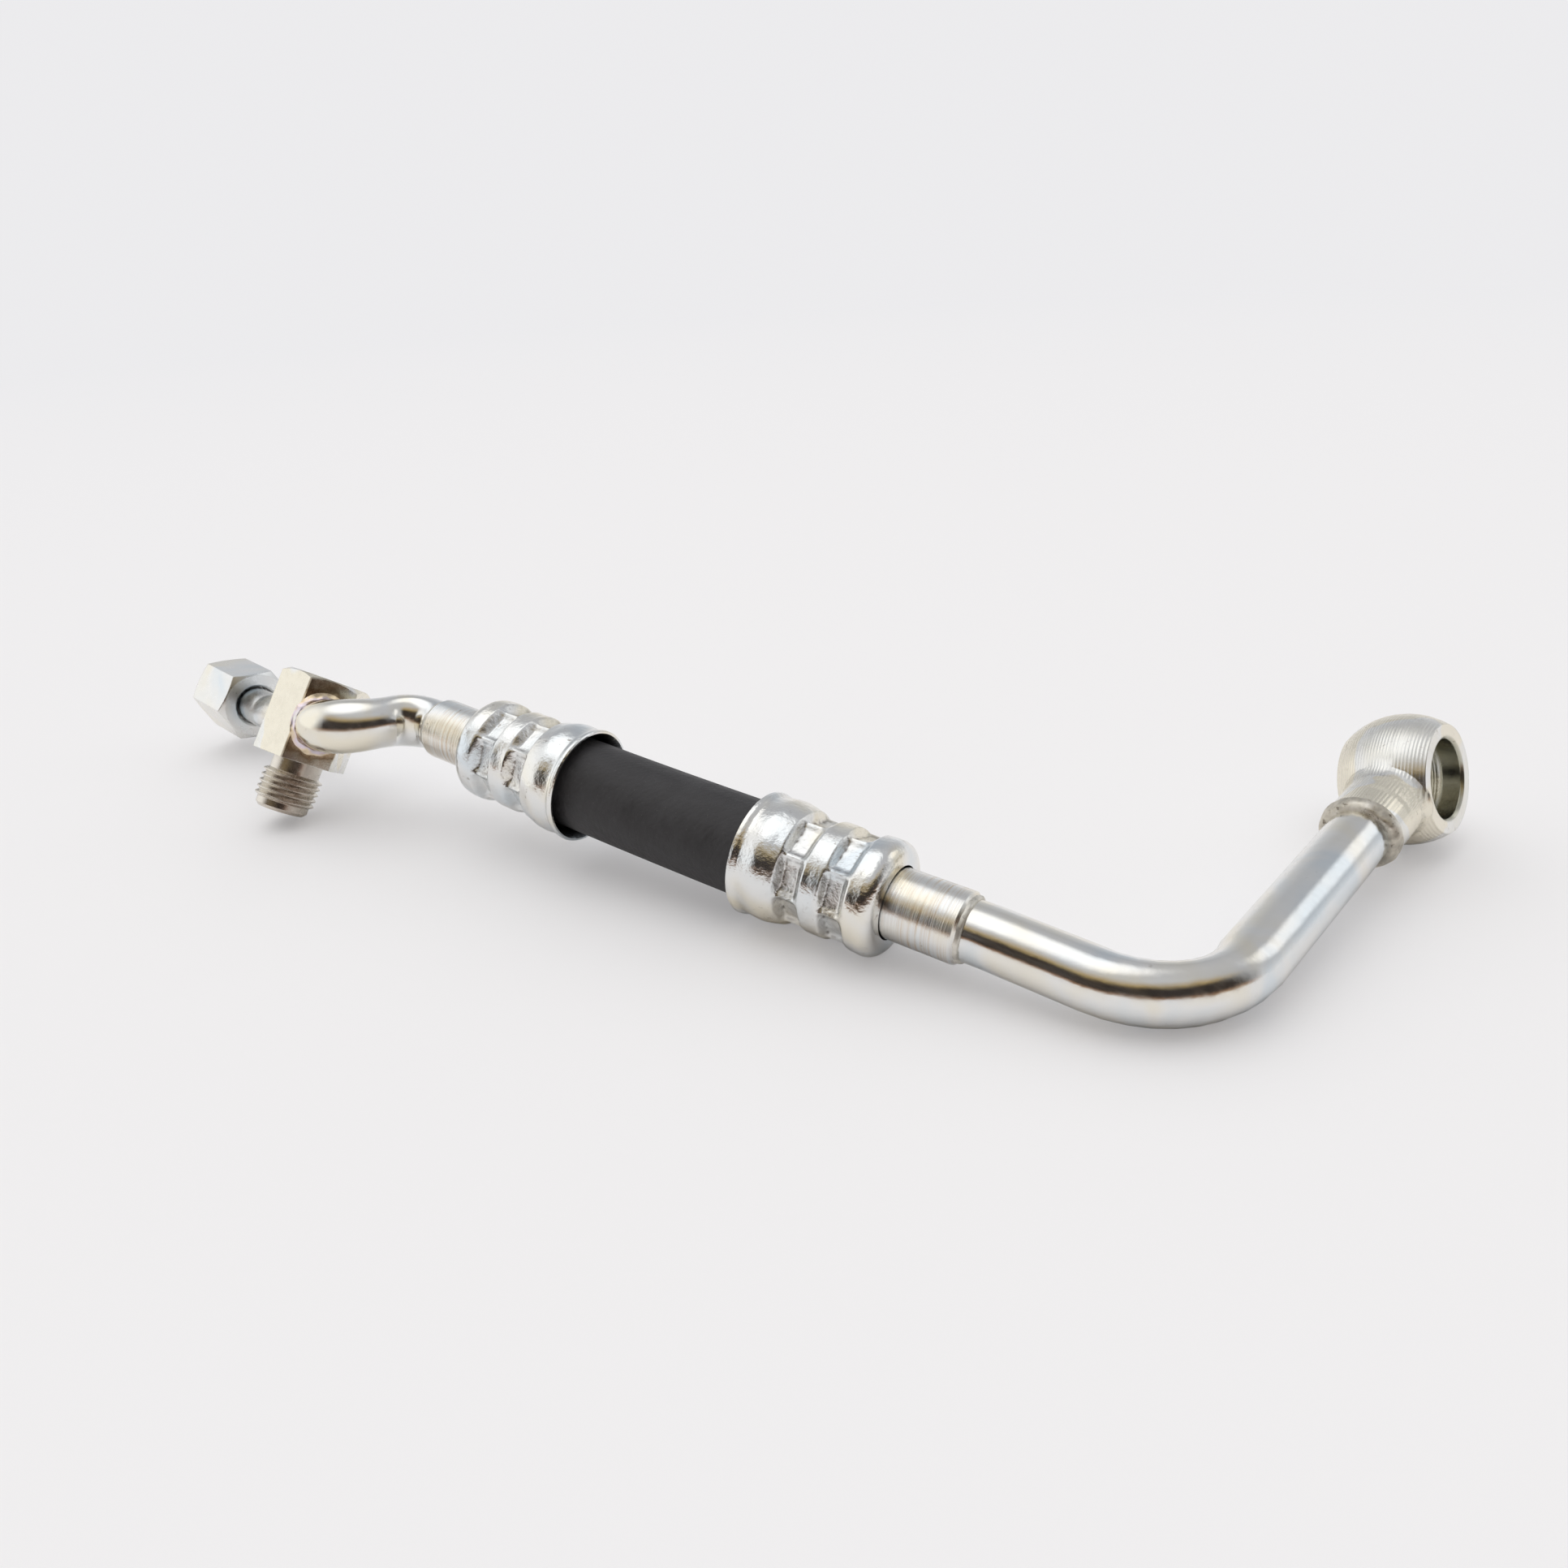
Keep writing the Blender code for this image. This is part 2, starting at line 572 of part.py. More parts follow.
def cutting_ring(place):
    """The wedge ring that seals on the tube inside the nut."""
    inside = NUT_TUBE_OD / 2 + CLEARANCE
    outside = inside + RING_WALL
    edge = inside + RING_WALL / 3
    start, shoulder = seat_place(edge), seat_place(outside)
    outline = [(start, inside), (start, edge), (shoulder, outside),
               (start + RING_LENGTH / 2, outside), (start + RING_LENGTH, edge),
               (start + RING_LENGTH, inside)]
    return turned("cutting_ring", outline, zinc("cutting_ring"), place)


def seat_place(radius):
    """How far along the nut a ring of this radius meets the nut's cone, less the clearance."""
    hole = NUT_TUBE_OD / 2 + NUT_HOLE_CLEARANCE
    slope = NUT_SEAT_LENGTH / (NUT_THREAD_BORE / 2 - hole)
    return NUT_HOLE_LENGTH + (radius - hole) * slope + CLEARANCE * math.hypot(1.0, slope)


def build():
    clear_scene()
    upward = Vector((0, 0, 1))
    half = HOSE_EXPOSED / 2
    along_long = (LONG_LEAN - HOSE_MIDDLE).normalized()
    along_short = (SHORT_BEND_OUTER - HOSE_MIDDLE).normalized()
    long_leg = frame_along(HOSE_MIDDLE + along_long * half, along_long, upward)
    short_leg = frame_along(HOSE_MIDDLE + along_short * half, along_short, upward)
    for name, leg in (("long", long_leg), ("short", short_leg)):
        ferrule("ferrule_" + name, leg)
        insert("hose_insert_" + name, leg)
        collar_braze("insert_braze_" + name, leg)
    hose(long_leg, short_leg)

    socket = Vector((0, 0, FERRULE_LENGTH + COLLAR_EXPOSED - SOCKET_DEPTH + CLEARANCE))
    eye_leg = frame_along(BANJO_CENTRE, LONG_BEND - BANJO_CENTRE, upward)
    eye_socket = eye_leg @ Vector((0, 0, NECK_END - SOCKET_DEPTH + CLEARANCE))
    bends = [(LONG_LEAN, LONG_LEAN_RADIUS), (LONG_BEND, LONG_BEND_RADIUS)]
    bent_tube("tube_long", long_leg @ socket, bends, eye_socket, TUBE_OD, TUBE_WALL)
    banjo_eye(eye_leg)
    banjo_braze(eye_leg)

    front = (SHORT_BEND_INNER - TEE_CENTRE).normalized()
    tee_up = (TEE_AXIS - front * TEE_AXIS.dot(front)).normalized()
    tee_place = frame_along(TEE_CENTRE, tee_up, front)
    tee_body(tee_place)
    face = TEE_ACROSS_FLATS / 2
    front_seat = TEE_CENTRE + front * (face - TEE_SOCKET_DEPTH + CLEARANCE)
    bends = [(SHORT_BEND_OUTER, SHORT_OUTER_RADIUS), (SHORT_BEND_INNER, SHORT_INNER_RADIUS)]
    bent_tube("tube_short", short_leg @ socket, bends, front_seat, TUBE_OD, TUBE_WALL)
    front_face = frame_along(TEE_CENTRE + front * face, front, tee_up.cross(front))
    tee_fillet("tee_braze_front", front_face, TUBE_OD, BRAZE_FILLET_TOP, BRAZE_FILLET_SIDE)
    back_face = frame_along(TEE_CENTRE - front * face, -front, tee_up.cross(front))
    tee_fillet("tee_braze_back", back_face, NUT_TUBE_OD, BRAZE_BACK_TOP, BRAZE_FILLET_SIDE)

    nut_lean = TEE_CENTRE - front * NUT_LEAN_FROM_TEE
    nut_axis = (NUT_FACE - NUT_BEND).normalized()
    nut_place = frame_along(NUT_FACE, nut_axis, upward) @ Matrix.Rotation(NUT_TURN, 4, "Z")
    back_seat = TEE_CENTRE - front * (face - TEE_SOCKET_DEPTH + CLEARANCE)
    bends = [(nut_lean, NUT_LEAN_RADIUS), (NUT_BEND, NUT_BEND_RADIUS)]
    bent_tube("tube_nut", back_seat, bends, NUT_FACE + nut_axis * TUBE_END_IN_NUT,
              NUT_TUBE_OD, NUT_TUBE_WALL)
    union_nut(nut_place)
    cutting_ring(nut_place)


build()
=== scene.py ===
"""Looks of the oil line: zinc plate, braze and rubber, a pale floor, soft light and the camera."""

import math

import bmesh
import bpy
from mathutils import Matrix, Vector, noise

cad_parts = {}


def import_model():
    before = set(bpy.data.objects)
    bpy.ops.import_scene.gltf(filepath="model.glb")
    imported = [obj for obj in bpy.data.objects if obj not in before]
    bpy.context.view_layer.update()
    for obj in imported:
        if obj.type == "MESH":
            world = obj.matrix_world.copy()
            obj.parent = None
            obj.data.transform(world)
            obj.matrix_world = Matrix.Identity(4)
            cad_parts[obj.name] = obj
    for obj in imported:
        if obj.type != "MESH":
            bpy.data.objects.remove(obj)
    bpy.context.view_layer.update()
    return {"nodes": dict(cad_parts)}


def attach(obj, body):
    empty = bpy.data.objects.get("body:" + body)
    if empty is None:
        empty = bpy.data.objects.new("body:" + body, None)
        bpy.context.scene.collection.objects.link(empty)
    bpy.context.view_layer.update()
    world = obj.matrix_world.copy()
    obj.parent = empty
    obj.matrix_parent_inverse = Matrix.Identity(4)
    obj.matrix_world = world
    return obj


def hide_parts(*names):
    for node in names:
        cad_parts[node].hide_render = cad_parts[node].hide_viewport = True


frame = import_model()

# Places in the CAD frame, in metres
BANJO_CENTRE = Vector((0.1422, 0.0517, 0.0143))
BANJO_AXIS = Vector((0.91425, -0.22914, 0.33412))
LONG_BEND = Vector((0.1230, -0.0373, 0.0058))
LONG_LEAN = Vector((0.0862, -0.0369, 0.0100))
HOSE_MIDDLE = Vector((0.0132, -0.0359, 0.0154))
SHORT_BEND_OUTER = Vector((-0.0634, -0.0367, 0.0244))
TEE_CENTRE = Vector((-0.0905, -0.0470, 0.0223))
TEE_FRONT = Vector((0.89165, -0.38341, 0.24075))
TEE_UP = Vector((0.05095, 0.61338, 0.78815))
TEE_HALF = 0.0095
STUB_START = 0.0102  # below the tee's centre
HOSE_HALF = 0.0228

# The camera, solved from the photograph's perspective
CAMERA_PLACE = Vector((0.1467, -0.18955, 0.1266))
CAMERA_RIGHT = Vector((0.8412, 0.5381, -0.0541))
CAMERA_UP = Vector((-0.2073, 0.4131, 0.8868))
SENSOR_MM = 36.0
LENS_MM = 24.97

# Sizes of the ferrules, in metres from the mouth along the sleeve
FERRULE_LENGTH = 0.0310
FERRULE_WALL = 0.0012
LIP_RADIUS = 0.0128
NECK_RADIUS = 0.0123
SKIRT_RADIUS = 0.0126
BEAD_RADIUS = 0.0114
END_RADIUS = 0.0117
GROOVE_RADIUS = 0.0095
GROOVES = (0.0125, 0.0222)
GROOVE_FLAT = 0.0028
GROOVE_SLOPE = 0.0021
MOUTH_SLOPE = 0.0013
COLLAR_HOLE = 0.00745
JAWS = 8
FIN_WIDTH = 0.095  # half the fold between two pads, as a share of a jaw's sector
FIN_HEIGHT = 0.50  # how much of the groove's depth a fold fills
# width of the painted crease shade at each groove's mouth-side step
CREASE_SHADE_WIDTH = 0.00022

# Where the braze beads start along their legs, and the tubes that they close on
COLLAR_END = 0.0456
NECK_END = 0.0242
TUBE_RADIUS = 0.0060
NUT_TUBE_RADIUS = 0.0050

# Fineness of the made meshes
FERRULE_SIDES = 192
FERRULE_STEPS = 170
END_STEPS = 12
INSIDE_STEPS = 24
BEAD_SIDES = 96
BEAD_STEPS = 8
BEAD_LUMPS = 0.00022
BEAD_SEED = 3.0
OVERLAP = 0.0002  # how far a bead reaches into the metal that it closes on
MERGE_DISTANCE = 2e-6
SHARP_MADE = 40.0
SHARP_COPIED = 28.0


def smooth(value):
    value = min(max(value, 0.0), 1.0)
    return value * value * (3.0 - 2.0 * value)


# Materials
def fill_ramp(band, stops):
    """Set the stops of a colour ramp; a single number stands for a grey."""
    while len(band.elements) < len(stops):
        band.elements.new(0.5)
    for element, (place, colour) in zip(band.elements, stops):
        element.position = place
        element.color = (*(colour if isinstance(colour, tuple) else (colour,) * 3), 1.0)


class Shade:
    """A material and short calls for its nodes."""

    def __init__(self, name, metallic, roughness):
        self.material = bpy.data.materials.new(name)
        self.material.use_nodes = True
        self.tree = self.material.node_tree
        self.shader = self.tree.nodes["Principled BSDF"]
        self.shader.inputs["Metallic"].default_value = metallic
        self.shader.inputs["Roughness"].default_value = roughness
        self.place = self.add("ShaderNodeTexCoord").outputs["Object"]
        self.normal = None

    def add(self, kind, **settings):
        node = self.tree.nodes.new(kind)
        for key, value in settings.items():
            setattr(node, key, value)
        return node

    def put(self, socket, value):
        if isinstance(value, bpy.types.NodeSocket):
            self.tree.links.new(value, socket)
        else:
            socket.default_value = value

    def math(self, operation, *values, clamp=False):
        node = self.add("ShaderNodeMath", operation=operation, use_clamp=clamp)
        for socket, value in zip(node.inputs, values):
            self.put(socket, value)
        return node.outputs[0]

    def noise(self, scale, detail=3.0, rough=0.55, where=None, distort=0.0):
        node = self.add("ShaderNodeTexNoise")
        self.put(node.inputs["Vector"], where or self.place)
        node.inputs["Scale"].default_value = scale
        node.inputs["Detail"].default_value = detail
        node.inputs["Roughness"].default_value = rough
        node.inputs["Distortion"].default_value = distort
        return node.outputs["Fac"]

    def ramp(self, value, stops):
        node = self.add("ShaderNodeValToRGB")
        self.put(node.inputs["Fac"], value)
        fill_ramp(node.color_ramp, stops)
        return node.outputs["Color"]

    def mix(self, share, first, second):
        node = self.add("ShaderNodeMix", data_type="RGBA")
        self.put(node.inputs["Factor"], share)
        for socket, value in ((node.inputs[6], first), (node.inputs[7], second)):
            self.put(socket, (*value, 1.0) if isinstance(value, tuple) else value)
        return node.outputs[2]

    def along(self, origin, axis):
        """Distance along an axis, in metres."""
        offset = self.add("ShaderNodeVectorMath", operation="SUBTRACT")
        self.put(offset.inputs[0], self.place)
        offset.inputs[1].default_value = origin
        dot = self.add("ShaderNodeVectorMath", operation="DOT_PRODUCT")
        self.put(dot.inputs[0], offset.outputs[0])
        dot.inputs[1].default_value = axis
        return dot.outputs["Value"]

    def distance(self, origin):
        node = self.add("ShaderNodeVectorMath", operation="DISTANCE")
        self.put(node.inputs[0], self.place)
        node.inputs[1].default_value = origin
        return node.outputs["Value"]

    def square_from_axis(self, origin, along):
        """Square of the distance from an axis through origin, given the distance along it."""
        return self.math("SUBTRACT", self.math("POWER", self.distance(origin), 2.0),
                         self.math("POWER", along, 2.0))

    def stretched(self, axis, squeeze):
        """Coordinates squeezed along an axis, so that noise runs in streaks along it."""
        dot = self.add("ShaderNodeVectorMath", operation="DOT_PRODUCT")
        self.put(dot.inputs[0], self.place)
        dot.inputs[1].default_value = axis
        less = self.add("ShaderNodeVectorMath", operation="SCALE")
        less.inputs[0].default_value = axis
        self.put(less.inputs["Scale"], self.math("MULTIPLY", dot.outputs["Value"], 1.0 - squeeze))
        result = self.add("ShaderNodeVectorMath", operation="SUBTRACT")
        self.put(result.inputs[0], self.place)
        self.put(result.inputs[1], less.outputs[0])
        return result.outputs[0]

    def bump(self, height, distance, strength=1.0):
        node = self.add("ShaderNodeBump")
        node.inputs["Strength"].default_value = strength
        node.inputs["Distance"].default_value = distance
        self.put(node.inputs["Height"], height)
        if self.normal:
            self.put(node.inputs["Normal"], self.normal)
        self.normal = node.outputs["Normal"]
        self.put(self.shader.inputs["Normal"], self.normal)

    def finish(self, colour, roughness=None):
        self.put(self.shader.inputs["Base Color"], colour)
        if roughness is not None:
            self.put(self.shader.inputs["Roughness"], roughness)
        return self.material


SILVER = (0.80, 0.80, 0.785)
BLUISH = (0.70, 0.75, 0.785)
YELLOWISH = (0.82, 0.775, 0.66)
BANJO_COOL = (0.79, 0.775, 0.72)
TEE_COOL = (0.79, 0.78, 0.71)
STAIN = (0.22, 0.17, 0.12)
# painted shade for the ferrules' creases
CREASE_SHADE = (0.10, 0.075, 0.055)
STREAK = (0.60, 0.45, 0.28)
RIM_BROWN = (0.16, 0.11, 0.065)
STUB_GREY = (0.72, 0.68, 0.61)
# painted reflection on the stub
STUB_REFLECTION_BROWN = (0.20, 0.11, 0.07)
BORE_OLIVE = (0.44, 0.43, 0.35)
SILVERY_BRAZE = (0.70, 0.68, 0.62)
GREYISH_BRAZE = (0.62, 0.58, 0.50)
WEAVE_PITCH = 0.0011
HEAT_REACH = 0.0108


def zinc(name, low=0.16, high=0.30, stain=0.62, dent=0.00002, axis=None, rings=None, tint=None,
         rough=None, warm=0.5, overlay=None, edge=None, cool=BLUISH):
    """Bright zinc plate: patches of blue and straw, specks, fine scratches and soft dents.

    low and high bound the roughness, stain is the noise level at which specks start, dent is the
    depth of the unevenness, axis is the way that scratches run, edge is the radius of edges rounded
    by wear and warm widens the straw patches. tint and overlay change the colour, and overlay can
    paint shade, as in the ferrules' creases; rough adds to the relief.
    """
    shade = Shade(name, 1.0, low)
    patches = shade.noise(55.0, 2.0, distort=0.6)
    colour = shade.ramp(patches, [(0.34, cool), (0.50, SILVER),
                                  (0.50 + 0.30 * (1.1 - warm), YELLOWISH)])
    if tint:
        colour = tint(shade, colour)
    # overlay may paint shade, as the ferrules' crease shade does
    if overlay:
        colour = overlay(shade, colour)
    if edge:
        rounded = shade.add("ShaderNodeBevel", samples=6)
        rounded.inputs["Radius"].default_value = edge
        shade.normal = rounded.outputs["Normal"]
    cloud = shade.noise(420.0, 5.0, 0.7)
    speck = shade.noise(1500.0, 3.0, 0.6)
    stained = shade.math("MULTIPLY", shade.ramp(cloud, [(stain, 0.0), (stain + 0.10, 1.0)]),
                         shade.ramp(speck, [(0.45, 0.0), (0.62, 0.8)]))
    colour = shade.mix(stained, colour, STAIN)
    streaks = shade.noise(700.0, 4.0, 0.65, where=shade.stretched(axis, 0.06)) if axis else cloud
    spread = shade.add("ShaderNodeMapRange")
    shade.put(spread.inputs["Value"], streaks)
    spread.inputs["From Min"].default_value = 0.35
    spread.inputs["From Max"].default_value = 0.70
    spread.inputs["To Min"].default_value = low
    spread.inputs["To Max"].default_value = high
    shade.bump(shade.noise(140.0, 2.0), dent * 5)
    shade.bump(cloud, dent)
    if axis:
        shade.bump(streaks, dent * 0.5)
    if rings:
        turning_marks(shade, **rings)
    if rough:
        rough(shade)
    return shade.finish(colour, spread.outputs["Result"])


def turning_marks(shade, origin, axis, pitch, depth, clear_of=0.0, even=0.5):
    """Rings that a lathe tool leaves: an uneven share, an even share, and none inside clear_of."""
    along = shade.along(origin, axis)
    wave = shade.math("SINE", shade.math("MULTIPLY", along, math.tau / pitch))
    line = shade.add("ShaderNodeCombineXYZ")
    shade.put(line.inputs[0], shade.math("MULTIPLY", along, 1.0 / pitch))
    fine = shade.noise(1.7, 5.0, 0.8, where=line.outputs[0])
    marks = shade.math("MULTIPLY_ADD", fine, 2.0, shade.math("MULTIPLY", wave, even))
    if clear_of:
        radial = shade.math("SQRT", shade.square_from_axis(origin, along))
        outside = shade.ramp(shade.math("MULTIPLY", radial, 0.5 / clear_of),
                             [(0.49, 0.0), (0.52, 1.0)])
        marks = shade.math("MULTIPLY", marks, outside)
    shade.bump(marks, depth)


def braze(name, warm):
    """Dull, pitted braze with dark flux in its pits."""
    shade = Shade(name, 1.0, 0.4)
    pits = shade.noise(900.0, 5.0, 0.7)
    tone = shade.noise(260.0, 3.0)
    dark = tuple(0.62 * value for value in warm)
    colour = shade.ramp(tone, [(0.30, dark), (0.50, warm), (0.70, (0.76, 0.73, 0.67))])
    colour = shade.mix(shade.ramp(pits, [(0.30, 0.9), (0.42, 0.0)]), colour, (0.12, 0.09, 0.06))
    shade.bump(tone, 0.0003)
    shade.bump(pits, 0.00006)
    return shade.finish(colour, shade.ramp(pits, [(0.3, 0.62), (0.7, 0.30)]))


def rubber(name):
    """Matte black rubber with the faint diagonal weave of its wrapping."""
    shade = Shade(name, 0.0, 0.55)
    axis = (LONG_LEAN - HOSE_MIDDLE).normalized()
    side = axis.cross(Vector((0, 0, 1))).normalized()
    across = shade.along(HOSE_MIDDLE, (axis + side).normalized())
    weave = shade.math("SINE", shade.math("MULTIPLY", across, math.tau / WEAVE_PITCH))
    grain = shade.noise(2600.0, 4.0, 0.7)
    patches = shade.noise(160.0, 4.0, 0.6)
    colour = shade.ramp(patches, [(0.35, (0.020, 0.019, 0.021)), (0.65, (0.034, 0.033, 0.036))])
    dust = shade.ramp(shade.noise(3600.0, 2.0, 0.5), [(0.70, 0.0), (0.78, 0.35)])
    colour = shade.mix(dust, colour, (0.25, 0.25, 0.25))
    shade.shader.inputs["Specular IOR Level"].default_value = 0.45
    shade.bump(patches, 0.00045)
    shade.bump(weave, 0.000006)
    shade.bump(grain, 0.00006)
    return shade.finish(colour, shade.ramp(patches, [(0.3, 0.50), (0.7, 0.62)]))


def heat_tint(place, reach):
    """Lilac, straw and brown rings of heat round a braze joint."""
    def tint(shade, colour):
        ripple = shade.math("MULTIPLY_ADD", shade.noise(260.0, 4.0, 0.65), 0.0050, -0.0025)
        away = shade.math("DIVIDE", shade.math("ADD", shade.distance(place), ripple), reach)
        hue = shade.ramp(away, [(0.52, (0.76, 0.74, 0.70)), (0.60, (0.70, 0.60, 0.70)),
                                (0.68, (0.74, 0.60, 0.40)), (0.78, (0.30, 0.21, 0.12)),
                                (0.90, (0.60, 0.57, 0.42))])
        return shade.mix(shade.ramp(away, [(0.80, 0.9), (1.0, 0.0)]), colour, hue)
    return tint


# Geometry
def frame_along(origin, direction, side):
    """A frame at origin with z along direction and x as near to side as it can be."""
    z = direction.normalized()
    x = (side - z * side.dot(z)).normalized()
    return Matrix.Translation(origin) @ Matrix((x, z.cross(x), z)).transposed().to_4x4()


def link_mesh(name, points, faces, material, sharp=SHARP_MADE):
    mesh = bpy.data.meshes.new(name)
    mesh.from_pydata(points, [], faces)
    mesh.shade_smooth()
    mesh.set_sharp_from_angle(angle=math.radians(sharp))
    mesh.materials.append(material)
    made = bpy.data.objects.new(name, mesh)
    bpy.context.scene.collection.objects.link(made)
    return made


def skin(name, rings, material):
    """Bridge a closed chain of rings into one hollow solid."""
    count = len(rings[0])
    points = [point for ring in rings for point in ring]
    faces = []
    for i in range(len(rings)):
        a, b = i * count, ((i + 1) % len(rings)) * count
        for j in range(count):
            k = (j + 1) % count
            faces.append((a + k, a + j, b + j, b + k))
    return link_mesh(name, points, faces, material)


def groove_share(along):
    """How far into a groove a place is, from 0 to 1; the mouth's side of it is the steeper."""
    share = 0.0
    for groove in GROOVES:
        slope = MOUTH_SLOPE if along < groove else GROOVE_SLOPE
        share = max(share, smooth((GROOVE_FLAT / 2 + slope - abs(along - groove)) / slope))
    return share


def uncrimped_radius(along):
    """The sleeve's outer radius before it is crimped."""
    stretches = [(0.0, LIP_RADIUS), (0.0008, LIP_RADIUS), (0.0020, NECK_RADIUS),
                 (0.0055, SKIRT_RADIUS), (GROOVES[0], BEAD_RADIUS), (GROOVES[1], BEAD_RADIUS),
                 (GROOVES[1] + 0.0055, END_RADIUS), (FERRULE_LENGTH, END_RADIUS)]
    for (low, radius), (high, following) in zip(stretches, stretches[1:]):
        if along <= high:
            return radius + (following - radius) * smooth((along - low) / (high - low))
    return END_RADIUS


def crimped_radius(along, turn, seed):
    """The sleeve's radius with its jaw pads, the fins between them and the metal's unevenness."""
    sector = math.tau / JAWS
    jaw = int(turn // sector)
    groove = 0 if abs(along - GROOVES[0]) < abs(along - GROOVES[1]) else 1
    shift = 0.0003 * noise.noise(Vector((jaw * 3.1, groove * 7.7, seed)))
    share = groove_share(along + shift)
    place = (turn % sector) / sector
    edge = min(place, 1.0 - place)
    fin = math.exp(-(edge / FIN_WIDTH) ** 2)
    pad = GROOVE_RADIUS / math.cos((place - 0.5) * sector)
    pad += 0.00025 * noise.noise(Vector((jaw * 5.3, groove * 2.9, seed + 4.0)))
    free = uncrimped_radius(along)
    pad += (free - pad) * fin * FIN_HEIGHT
    rim_free = smooth((along - 0.004) / 0.004)
    wobble = noise.noise(Vector((math.cos(turn) * 3, math.sin(turn) * 3, along * 400 + seed)))
    return free * (1.0 - share) + pad * share + wobble * 0.00012 * rim_free


def crease_shade_share(along, turn, seed):
    """Painted crease shade beside the fins and on the mouth's side of the pads, from 0 to 1."""
    share = groove_share(along)
    place = (turn % (math.tau / JAWS)) / (math.tau / JAWS)
    edge = min(place, 1.0 - place)
    beside = math.exp(-((edge - FIN_WIDTH) / 0.018) ** 2) * share * 0.7
    groove = min(GROOVES, key=lambda place: abs(along - place))
    line = math.exp(-((groove - along - GROOVE_FLAT / 2) / CREASE_SHADE_WIDTH) ** 2)
    ends = line * smooth((edge - FIN_WIDTH) / 0.05)
    patchy = noise.noise(Vector((math.cos(turn) * 9, math.sin(turn) * 9, along * 900 + seed)))
    return max(beside, ends) * smooth(0.45 + 1.6 * patchy)


def ferrule_skin(name, place, seed, material):
    """A fine copy of the ferrule, from its mouth at z = 0 to its end round the collar."""
    turns = [math.tau * i / FERRULE_SIDES for i in range(FERRULE_SIDES)]
    round_end = END_RADIUS - COLLAR_HOLE - FERRULE_WALL

    def ring(along, radius_at):
        return [place @ Vector((radius_at(t) * math.cos(t), radius_at(t) * math.sin(t), along))
                for t in turns]

    rings = [ring(0.0, lambda t: LIP_RADIUS - 0.0006), ring(0.0, lambda t: LIP_RADIUS - 0.00025),
             ring(0.00025, lambda t: LIP_RADIUS)]
    lip_rings = len(rings)
    start, stop = 0.0005, FERRULE_LENGTH - round_end
    steps = [start + (stop - start) * i / (FERRULE_STEPS - 1) for i in range(FERRULE_STEPS)]
    for along in steps:
        rings.append(ring(along, lambda t, z=along: crimped_radius(z, t, seed)))
    for i in range(1, END_STEPS + 1):
        lean = math.pi / 2 * i / END_STEPS
        drop = round_end * (1.0 - math.cos(lean))
        along = stop + round_end * math.sin(lean)
        fade = math.cos(lean)
        rings.append(ring(along, lambda t, d=drop, f=fade:
                          END_RADIUS - d + (crimped_radius(stop, t, seed) - END_RADIUS) * f))
    rings += [ring(FERRULE_LENGTH, lambda t: COLLAR_HOLE),
              ring(FERRULE_LENGTH - FERRULE_WALL, lambda t: COLLAR_HOLE)]
    rings.append(ring(FERRULE_LENGTH - FERRULE_WALL, lambda t: END_RADIUS - round_end))
    for i in range(INSIDE_STEPS):
        along = stop + (0.0012 - stop) * i / (INSIDE_STEPS - 1)
        rings.append(ring(along, lambda t, z=along: crimped_radius(z, t, seed) - FERRULE_WALL))
    rings.append(ring(0.0003, lambda t: LIP_RADIUS - 0.0008))
    made = skin(name, rings, material)
    # painted crease shade for each point of the crimped sleeve, read by the ferrules' finish
    painted_crease_shade = made.data.attributes.new("crease_shade", "FLOAT", "POINT")
    for i, along in enumerate(steps):
        for j, turn in enumerate(turns):
            point = (i + lip_rings) * FERRULE_SIDES + j
            painted_crease_shade.data[point].value = crease_shade_share(along, turn, seed)
    return made


def fine_copy(node, levels, material, body="line"):
    """A smooth-shaded copy of a CAD node, made rounder where its faces are long and even."""
    source = frame["nodes"][node].data
    work = bmesh.new()
    work.from_mesh(source)
    bmesh.ops.remove_doubles(work, verts=work.verts, dist=MERGE_DISTANCE)
    if levels:
        bmesh.ops.join_triangles(work, faces=work.faces, angle_face_threshold=math.radians(50),
                                 angle_shape_threshold=math.radians(60))
    work.verts.index_update()
    points = [vertex.co.copy() for vertex in work.verts]
    faces = [[vertex.index for vertex in face.verts] for face in work.faces]
    work.free()
    piece = link_mesh(node + "_fine", points, faces, material, sharp=SHARP_COPIED)
    if levels:
        edges = piece.data.attributes.get("sharp_edge")
        crease = piece.data.attributes.new("crease_edge", "FLOAT", "EDGE")
        for i, item in enumerate(edges.data if edges else []):
            crease.data[i].value = 1.0 if item.value else 0.0
        rounder = piece.modifiers.new("rounder", "SUBSURF")
        rounder.levels = levels
        rounder.render_levels = levels
    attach(piece, body)
    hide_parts(node)


def rounded_bead(start, foot, crown, length):
    """Half-round outline of a bead from its foot on a tube to its crown."""
    points = [(start - OVERLAP, foot - OVERLAP), (start - OVERLAP, crown)]
    for i in range(BEAD_STEPS + 1):
        lean = math.pi / 2 * i / BEAD_STEPS
        points.append((start + length * math.sin(lean),
                       foot + (crown - foot) * math.cos(lean) ** 0.7))
    points.append((start + length, foot - OVERLAP))
    return lambda turn: points


def fillet(foot, top, side, height):
    """A hollow fillet that reaches further above and below the tube than beside it."""
    def outline(turn):
        reach = side + (top - side) * math.sin(turn) ** 2
        points = [(-OVERLAP, foot - OVERLAP), (-OVERLAP, foot + reach)]
        for i in range(BEAD_STEPS + 1):
            share = i / BEAD_STEPS
            points.append((height * share, foot + reach * (1.0 - share) ** 2.2))
        return points + [(height, foot - OVERLAP)]
    return outline


